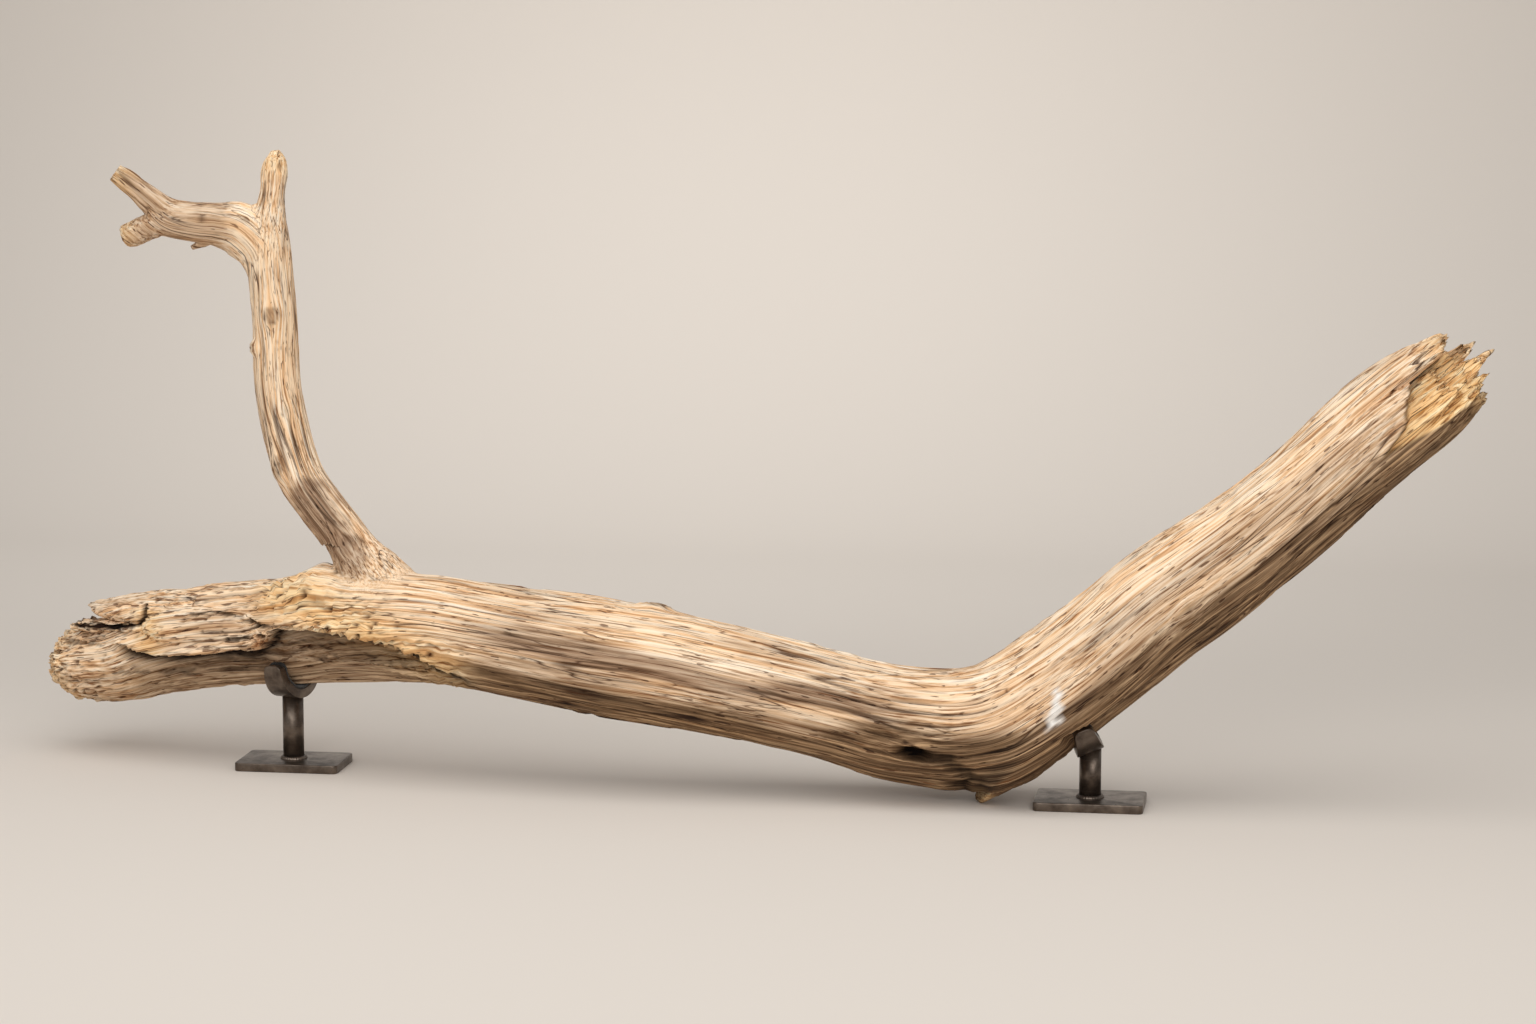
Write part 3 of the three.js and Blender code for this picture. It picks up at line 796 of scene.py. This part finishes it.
def carve(wood):
    points = readVectors(wood.data.vertices, "co")
    # the grain of the twig runs on into its upper fork, and the lower fork shares it
    limbs = [(trunkLine, 90, 1.0, 100, 0), (branchLine, 8, 0.42, 200, 420),
             (twigLine[:-2] + upperTineLine, 8, 0.42, 300, 980)]
    frames = [grainOn(points, stations, extend) for stations, extend, _, _, _ in limbs]
    outsides = np.array([outside for _, outside in frames])
    weights = np.exp(-np.clip(outsides - outsides.min(axis=0), 0, 60) / 7.0)
    weights /= weights.sum(axis=0)
    move, shade, paintedShadeAndKnotRings, fresh, scraped, crumbly, redEnd = wornShapes(points, frames[0][0])
    moved = points + move
    writeVerts(wood.data, moved)
    normals = readVectors(wood.data.vertex_normals, "vector")
    height = np.zeros(len(points))
    paintedCreaseShadeAndKnots = np.zeros(len(points))
    flows = []
    for (_, _, size, seed, offset), (limbGrain, _), weight in zip(limbs, frames, weights):
        flow = bendRound(limbGrain, moved)
        limbHeight, limbCreaseShade = relief(flow, size, seed)
        height += weight * limbHeight
        paintedCreaseShadeAndKnots += weight * limbCreaseShade
        flows.append(flow + (offset, 0, 0))
    grain = np.where((weights[2] > weights[0])[:, None], flows[2], flows[0])
    lumps = 1 - 2.4 * np.abs(gradientNoise(moved / 9.0, 71)) + 0.9 * gradientNoise(moved / 4.6, 72)
    endRibs = (moved[:, 0] < -520) * (1 - smoothStep(frames[0][0][:, 0], 20, 90))
    worn = smoothStep(-moved[:, 0], 300, 420) * (weights[0] > 0.5)
    worn *= 1 - 0.5 * smoothStep(shade, 0.2, 0.6)
    height *= 1 + 1.1 * endRibs + 0.35 * worn
    height += crumble["height"] * crumbly * lumps + 1.6 * endRibs * gradientNoise(moved / 7.0, 73)
    height += 0.8 * worn * gradientNoise(moved / (14, 5, 5), 75)
    knotHeight, knotDark = knotRelief(moved)
    height += knotHeight
    pitNoise = gradientNoise(moved / (7.0, 4.6, 4.6), 74)
    pits = smoothStep(pitNoise, 0.36, 0.55) * np.clip(1.2 * crumbly + 0.4 * endRibs + 0.45 * worn, 0, 1)
    height -= 3.4 * pits
    grey, brown, paintedTopLightAndPalePatches = greyBrownAndTopLight(moved, frames[0][0], frames[1][0], weights[1] + weights[2])
    paintedTopLightAndPalePatches = np.maximum(paintedTopLightAndPalePatches, 0.7 * crumbly)
    # painted shade in the creases and pits, with the knots' own dark rings
    paintedCreaseShadeAndKnots = np.clip(paintedCreaseShadeAndKnots * (1 - 0.5 * fresh) + knotDark + 0.9 * pits, 0, 1)
    carved = keepClearOfSeats(moved + normals * height[:, None])
    carved[:, 2] = np.maximum(carved[:, 2], floorGap)
    marks = {"grain": grain * mm, "branchGrain": flows[1] * mm, "onBranch": weights[1], "paintedCreaseShadeAndKnots": paintedCreaseShadeAndKnots,
             "fresh": fresh, "shade": shade, "scrape": scraped, "under": brown, "grey": grey, "red": redEnd,
             "paintedShadeAndKnotRings": paintedShadeAndKnotRings, "paintedTopLightAndPalePatches": paintedTopLightAndPalePatches, "worn": np.maximum(worn, endRibs)}
    return carved, marks


softenJoins(wood)
points, marks = carve(wood)
print("wood: relief carved")


def woodMaterial(marks):
    # sun-bleached, wind-worn pine: pale ribs of late wood, tan early wood and painted shade in the splits
    # and creases
    material = newMaterial("bleachedDriftPine")
    marked = {name: addNode(material, "Attribute", {"attribute_name": name}, output="Fac")
              for name, values in marks.items() if values.ndim == 1}
    grainAt = addNode(material, "Attribute", {"attribute_name": "grain"}, output="Vector")
    branchAt = addNode(material, "Attribute", {"attribute_name": "branchGrain"}, output="Vector")
    onBranch = addNode(material, "MapRange", {"From Min": 0.2, "From Max": 0.8},
                       {"Value": marked["onBranch"]})

    def streaks(alongMm, acrossMm, detail=3.0):
        # noise drawn out along the grain, finer on the thin branch, and blended where the two meet
        both = []
        for at, finer in ((grainAt, 1.0), (branchAt, 1.5)):
            scale = (1000 / alongMm * finer, 1000 / acrossMm * finer, 1000 / acrossMm * finer)
            drawn = addNode(material, "Mapping", {"Scale": scale}, {"Vector": at})
            both.append(addNode(material, "TexNoise",
                                {"Scale": 1.0, "Detail": detail, "Roughness": 0.55}, {"Vector": drawn}))
        return addNode(material, "Mix", {"data_type": "FLOAT"}, {0: onBranch, 2: both[0], 3: both[1]})

    def cracks(alongMm, acrossMm, width, opening):
        # thin dark lines where a drawn-out noise crosses its middle, opening and closing along the grain
        off = addNode(material, "Math", {"operation": "SUBTRACT"},
                      {0: streaks(alongMm, acrossMm, 1.0), 1: 0.5})
        line = addNode(material, "Math", {"operation": "ABSOLUTE"}, {0: off})
        thin = addNode(material, "MapRange", {"From Max": width, "To Min": 1.0, "To Max": 0.0},
                       {"Value": line})
        gaping = addNode(material, "MapRange", {"From Min": opening, "From Max": opening + 0.14},
                         {"Value": streaks(alongMm * 0.45, acrossMm * 2.2, 1.0)})
        return addNode(material, "Math", {"operation": "MULTIPLY"}, {0: thin, 1: gaping})

    broad = streaks(260, 11)
    narrow = streaks(170, 3.2, 4.0)
    hairs = streaks(60, 1.7, 2.0)
    longCracks = cracks(330, 13, 0.012, 0.46)
    hairCracks = cracks(150, 6.0, 0.020, 0.44)
    crowding = addNode(material, "Math", {"operation": "MULTIPLY_ADD"},
                       {0: marked["worn"], 1: 0.055, 2: streaks(17, 2.6, 1.0)})
    wormHoles = addNode(material, "MapRange", {"From Min": 0.675, "From Max": 0.715}, {"Value": crowding})
    # the wood's colours from the bottom of the grain to its ridges
    colours = {
        "bleached": [(0.30, "#b98b5f"), (0.41, "#edcaa2"), (0.52, "#fde3c4"), (0.72, "#fff1dc")],
        "sunlit": [(0.30, "#d7a878"), (0.41, "#fad6ac"), (0.52, "#ffeacd"), (0.72, "#fff6e8")],
        "grey": [(0.30, "#6d523c"), (0.5, "#aa8b6f"), (0.72, "#d6c0a6")],
        "golden": [(0.30, "#cf9a58"), (0.5, "#fcd9a3"), (0.72, "#fff1cf")],
        "brown": [(0.32, "#3f2917"), (0.5, "#80603e"), (0.68, "#d0ad82")]}
    tones = {name: addNode(material, "ValToRGB", {}, {"Fac": narrow}, stops)
             for name, stops in colours.items()}
    swing = addNode(material, "ValToRGB", {}, {"Fac": broad}, [(0.3, "#787878"), (0.7, "#b0b0b0")])
    hair = addNode(material, "MapRange",
                   {"From Min": 0.30, "From Max": 0.47, "To Min": 0.9, "To Max": 0.0}, {"Value": hairs})
    # each coat: how it mixes, where it lies, how strong it is and its colour
    coats = [
        ("MIX", marked["grey"], 1.0, tones["grey"]),
        ("MIX", marked["under"], 0.88, tones["brown"]),
        # painted light: the top of the trunk and the upper branch made paler, with the left end and the
        # crumbled edge
        ("MIX", marked["paintedTopLightAndPalePatches"], 0.75, tones["sunlit"]),
        ("MIX", marked["fresh"], 1.0, tones["golden"]),
        ("MIX", marked["shade"], 0.35, tones["brown"]),
        ("MIX", marked["red"], 0.5, "#c68a66"),
        ("SOFT_LIGHT", 1.0, 0.8, swing),
        ("MULTIPLY", hair, 1.0, "#98734f"),
        # painted shade in the splits, creases and pits, with the knots' own dark rings
        ("MULTIPLY", marked["paintedCreaseShadeAndKnots"], 1.1, "#543a25"),
        ("MULTIPLY", longCracks, 0.9, "#54351f"),
        ("MULTIPLY", hairCracks, 0.8, "#6a4529"),
        ("MULTIPLY", wormHoles, 0.75, "#674326"),
        # painted shade: the darkest band under the ledge, inside the open gaps, the hole, the undercut and
        # beside the crest
        ("MULTIPLY", marked["paintedShadeAndKnotRings"], 1.0, "#2b1c11"),
        ("MIX", marked["scrape"], 1.1, "#fffaf3")]
    tone = tones["bleached"]
    for mode, where, strength, colour in coats:
        factor = addNode(material, "Math", {"operation": "MULTIPLY", "use_clamp": True},
                         {0: where, 1: strength})
        tone = addNode(material, "Mix", {"data_type": "RGBA", "blend_type": mode},
                       {0: factor, 6: tone, 7: colour}, output=2)
    height = narrow
    for part, share in ((hairs, 0.6), (longCracks, -0.9), (hairCracks, -0.5), (wormHoles, -0.7)):
        height = addNode(material, "Math", {"operation": "MULTIPLY_ADD"},
                         {0: part, 1: share, 2: height})
    bump = addNode(material, "Bump", {"Strength": 0.7, "Distance": 0.0016}, {"Height": height})
    return finishMaterial(material, {"Roughness": 0.86, "IOR": 1.45, "Specular IOR Level": 0.25},
                          {"Base Color": tone, "Normal": bump})


def finishWood(wood, points, marks):
    mesh = wood.data
    writeVerts(mesh, points * mm + np.array(middle))
    for name, values in marks.items():
        kind, field = ("FLOAT_VECTOR", "vector") if values.ndim > 1 else ("FLOAT", "value")
        attribute = mesh.attributes.new(name, kind, "POINT")
        attribute.data.foreach_set(field, values.astype(np.float32).ravel())
    mesh.materials.clear()
    mesh.materials.append(woodMaterial(marks))
    for polygon in mesh.polygons:
        polygon.use_smooth = True
    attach(wood, "root")
    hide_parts("driftwood")


finishWood(wood, points, marks)
wood.data.calc_loop_triangles()
print("wood: finished,", len(wood.data.loop_triangles), "triangles")


def blackSteelMaterial(name, colour, paleColour, rough):
    # hot-rolled mild steel, blackened and waxed: a soft brown-black sheen with faint mill marks
    material = newMaterial(name)
    at = addNode(material, "TexCoord", output="Object")
    cloudy = addNode(material, "TexNoise", {"Scale": 1000 / 16, "Detail": 5.0, "Roughness": 0.6},
                     {"Vector": at})
    grit = addNode(material, "TexNoise", {"Scale": 1000 / 0.9, "Detail": 2.0}, {"Vector": at})
    scratchAt = addNode(material, "Mapping", {"Scale": (40, 40, 900), "Rotation": (0.3, 0.5, 0.2)},
                        {"Vector": at})
    scratch = addNode(material, "TexNoise", {"Scale": 1.0, "Detail": 3.0}, {"Vector": scratchAt})
    mottled = addNode(material, "ValToRGB", {}, {"Fac": cloudy}, [(0.32, colour), (0.68, paleColour)])
    rubbed = addNode(material, "MapRange", {"From Min": 0.62, "From Max": 0.72, "To Max": 0.5},
                     {"Value": scratch})
    tone = addNode(material, "Mix", {"data_type": "RGBA"}, {0: rubbed, 6: mottled, 7: "#7c7066"}, output=2)
    shine = addNode(material, "MapRange",
                    {"From Min": 0.3, "From Max": 0.7, "To Min": rough + 0.08, "To Max": rough - 0.06},
                    {"Value": cloudy})
    bump = addNode(material, "Bump", {"Strength": 0.25, "Distance": 0.0002}, {"Height": grit})
    return finishMaterial(material, {"Metallic": 0.85},
                          {"Base Color": tone, "Roughness": shine, "Normal": bump})


def feltMaterial():
    # pressed black wool felt: dark, dull and slightly fuzzy
    material = newMaterial("blackWoolFelt")
    at = addNode(material, "TexCoord", output="Object")
    fuzz = addNode(material, "TexNoise", {"Scale": 1000 / 0.8, "Detail": 4.0}, {"Vector": at})
    tone = addNode(material, "ValToRGB", {}, {"Fac": fuzz}, [(0.35, "#120f0d"), (0.7, "#2b2622")])
    bump = addNode(material, "Bump", {"Strength": 0.8, "Distance": 0.0005}, {"Height": fuzz})
    return finishMaterial(material, {"Roughness": 1.0, "Sheen Weight": 0.3},
                          {"Base Color": tone, "Normal": bump})


def roundEdges(bm, edges, offset, segments=3):
    bmesh.ops.bevel(bm, geom=edges, offset=offset, segments=segments, profile=0.5, affect="EDGES",
                    material=-1)


def movePoints(bm, move):
    for vert in bm.verts:
        vert.co = Vector(move(*vert.co))


def standPlate(centre):
    bm = bmesh.new()
    bmesh.ops.create_cube(bm, size=1)
    size = (plate["length"], plate["width"], plate["thickness"])
    bmesh.ops.scale(bm, vec=size, verts=bm.verts)
    bmesh.ops.translate(bm, vec=(0, 0, plate["thickness"] / 2), verts=bm.verts)
    upright = [edge for edge in bm.edges if abs(edge.verts[0].co.z - edge.verts[1].co.z) > 1]
    roundEdges(bm, upright, plate["corner"], 9)
    rims = [edge for edge in bm.edges if abs(edge.verts[0].co.z - edge.verts[1].co.z) < 0.01]
    rims = [edge for edge in rims if edge.calc_face_angle(0) > 1]
    roundEdges(bm, rims, plate["edge"])
    bmesh.ops.translate(bm, vec=centre, verts=bm.verts)
    return bm


def strapUnder(x, y, stand):
    # height of the strap's underside over a point of the post's top
    tilt = math.radians(stand["tilt"])
    turn = math.radians(stand["turn"])
    along = x * math.cos(turn) + y * math.sin(turn)
    across = -x * math.sin(turn) + y * math.cos(turn)
    drop = strap["outer"] - math.sqrt(strap["outer"] ** 2 - across ** 2)
    return stand["height"] + along * math.tan(tilt) + drop / math.cos(tilt)


def standPost(centre, stand):
    foot = plate["thickness"]
    bm = bmesh.new()
    bmesh.ops.create_cone(bm, cap_ends=True, cap_tris=True, segments=post["sides"], radius1=post["radius"],
                          radius2=post["radius"], depth=1)
    top = {vert for vert in bm.verts if vert.co.z > 0}
    for vert in bm.verts:
        vert.co.z = strapUnder(vert.co.x, vert.co.y, stand) + post["sink"] if vert in top else foot
    bmesh.ops.translate(bm, vec=centre, verts=bm.verts)
    return bm


def standBead(centre):
    # a hand-laid fillet weld, with a ripple for each dab of the rod
    foot = plate["thickness"]
    inner = post["radius"] - bead["root"]
    low = foot - bead["root"]
    leg = bead["leg"] + bead["root"]
    chain = [(inner, low)]
    for step in range(bead["arcSteps"] + 1):
        angle = math.pi / 2 * step / bead["arcSteps"]
        chain.append((inner + leg * math.cos(angle), low + leg * math.sin(angle)))
    bm = spun(chain, bead["around"], closed=True)
    bmesh.ops.remove_doubles(bm, verts=bm.verts, dist=1e-4)
    for vert in bm.verts:
        turn = math.atan2(vert.co.y, vert.co.x)
        swing = bead["ripple"] * (abs(math.sin(bead["ripples"] / 2 * turn)) + 0.6 * math.sin(3 * turn))
        reach = Vector((math.cos(turn), math.sin(turn), 0.8))
        if vert.co.z > foot:
            vert.co += reach * swing
    bmesh.ops.recalc_face_normals(bm, faces=bm.faces)
    bmesh.ops.translate(bm, vec=centre, verts=bm.verts)
    return bm


def bentStrap(centre, stand, fromDepth, toDepth, rise, edge):
    # a flat blank, wide at the foot and round at the tips, made thick, eased and then bent to a U
    outer = strap["outer"]
    radius = outer - (fromDepth + toDepth) / 2
    top = stand["arm"] + rise - outer
    reach = radius * math.pi / 2 + top
    if top < 0:
        reach = radius * math.acos(-top / outer)
    bm = bmesh.new()
    bmesh.ops.create_grid(bm, x_segments=14, y_segments=88, size=1)

    def halfWidth(length):
        angle = min(length / radius, math.pi / 2)
        height = outer - radius * math.cos(angle) + max(0, length - radius * math.pi / 2)
        share = min(max((height - 6) / max(stand["arm"] - 12, 1), 0), 1)
        half = strap["foot"] + (strap["tip"] - strap["foot"]) * share
        corner = strap["corner"]
        toTip = reach - length
        if toTip < corner:
            half += math.sqrt(max(corner ** 2 - (corner - toTip) ** 2, 0)) - corner
        return half

    movePoints(bm, lambda x, y, z: (x * halfWidth(abs(y) * reach), y * reach, 0))
    bmesh.ops.solidify(bm, geom=bm.faces[:], thickness=toDepth - fromDepth)
    bmesh.ops.recalc_face_normals(bm, faces=bm.faces)
    low = min(vert.co.z for vert in bm.verts)
    bmesh.ops.translate(bm, vec=(0, 0, -low - (toDepth - fromDepth) / 2), verts=bm.verts)
    sharp = [line for line in bm.edges if line.calc_face_angle(0) > 1]
    roundEdges(bm, sharp, edge)

    def bend(x, y, z):
        angle = max(-math.pi / 2, min(math.pi / 2, y / radius))
        straight = max(0, abs(y) - radius * math.pi / 2)
        reachOut = radius - z
        return (x, reachOut * math.sin(angle), outer - reachOut * math.cos(angle) + straight)

    movePoints(bm, bend)
    seat = Matrix.Translation(centre + Vector((0, 0, stand["height"]))) @ standTurn(stand).to_4x4()
    bmesh.ops.transform(bm, matrix=seat, verts=bm.verts)
    bmesh.ops.recalc_face_normals(bm, faces=bm.faces)
    return bm


def addStandPiece(name, bm, material):
    bmesh.ops.scale(bm, vec=(mm, mm, mm), verts=bm.verts)
    bmesh.ops.translate(bm, vec=middle, verts=bm.verts)
    piece = newPiece(name + "_visual", bm, material)
    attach(piece, "root")
    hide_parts(name)


def addStands():
    darkSteel = blackSteelMaterial("blackenedMildSteel", "#4b4038", "#7d7064", 0.33)
    beadSteel = blackSteelMaterial("blackenedWeldBead", "#4d433b", "#82756a", 0.34)
    felt = feltMaterial()
    for side, stand in stands.items():
        centre = (boxMiddle(side + "_post") - middle) / mm
        centre.z = 0
        depth = strap["wall"] + strap["gap"]
        addStandPiece(side + "_base_plate", standPlate(centre), darkSteel)
        addStandPiece(side + "_post", standPost(centre, stand), darkSteel)
        addStandPiece(side + "_foot_weld", standBead(centre), beadSteel)
        cradle = bentStrap(centre, stand, 0, strap["wall"], 0, strap["edge"])
        addStandPiece(side + "_cradle", cradle, darkSteel)
        liner = bentStrap(centre, stand, depth, depth + strap["liner"], strap["linerRise"],
                          strap["linerEdge"])
        addStandPiece(side + "_cradle_liner", liner, felt)


addStands()
print("stands: plates, posts, welds, cradles and felt")
